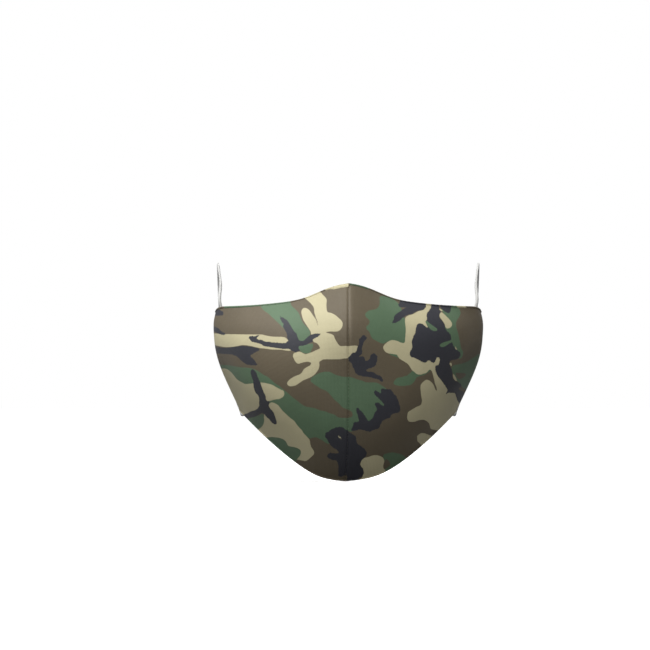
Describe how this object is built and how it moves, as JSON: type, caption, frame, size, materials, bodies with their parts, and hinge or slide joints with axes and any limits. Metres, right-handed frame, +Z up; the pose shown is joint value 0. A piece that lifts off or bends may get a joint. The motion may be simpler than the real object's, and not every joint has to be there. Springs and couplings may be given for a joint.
{
  "type": "fabric face mask",
  "caption": "Fitted fabric face mask in a woodland camouflage print, shaped by a vertical centre seam, with bound edges, a hidden nose wire and elastic ear loops.",
  "frame": {"origin": "under the middle of the whole object, level with its lowest point at the chin edge", "axes": "+Z up the face, -Y out of the face towards a viewer, +X towards the wearer's left, which is the viewer's right"},
  "size_m": [0.1598, 0.1486, 0.1295],
  "materials": {
    "camo_knit": "matte smooth knit with a printed brown, green, tan and black woodland pattern",
    "camo_binding": "matte folded tape in the same print, offset",
    "filter_fleece": "soft non-woven",
    "lining_cotton": "matte plain weave cotton",
    "nose_strip": "soft satin metal strip",
    "white_elastic": "matte ribbed woven elastic",
    "sewing_thread": "twisted polyester thread"
  },
  "bodies": {
    "left_half": {"outer_panel_left": "camo_knit", "filter_layer_left": "filter_fleece", "lining_panel_left": "lining_cotton", "top_edge_binding_left": "camo_binding", "bottom_edge_binding_left": "camo_binding", "side_tunnel_left": "lining_cotton", "side_tunnel_stitch_left": "sewing_thread", "nose_wire_left": "nose_strip", "nose_wire_pocket_left": "lining_cotton", "centre_seam_thread": "sewing_thread", "lining_seam_thread": "sewing_thread"},
    "right_half": {"outer_panel_right": "camo_knit", "filter_layer_right": "filter_fleece", "lining_panel_right": "lining_cotton", "top_edge_binding_right": "camo_binding", "bottom_edge_binding_right": "camo_binding", "side_tunnel_right": "lining_cotton", "side_tunnel_stitch_right": "sewing_thread", "nose_wire_right": "nose_strip", "nose_wire_pocket_right": "lining_cotton"},
    "left_ear_loop": {"ear_loop_left": "white_elastic"},
    "right_ear_loop": {"ear_loop_right": "white_elastic"}
  },
  "joints": [
    {"name": "centre_fold", "type": "hinge", "parent": "left_half", "child": "right_half", "pos_m": [0, -0.04263, -0.00003], "axis": [0, 0.0731, -0.9973], "range_deg": [0, 50]},
    {"name": "left_loop_swing", "type": "hinge", "parent": "left_half", "child": "left_ear_loop", "pos_m": [0.06212, 0.00971, 0.04392], "axis": [-0.2255, -0.0862, -0.9704], "range_deg": [-12, 135]},
    {"name": "right_loop_swing", "type": "hinge", "parent": "right_half", "child": "right_ear_loop", "pos_m": [-0.06212, 0.00971, 0.04392], "axis": [-0.2255, 0.0862, 0.9704], "range_deg": [-12, 135]}
  ]
}
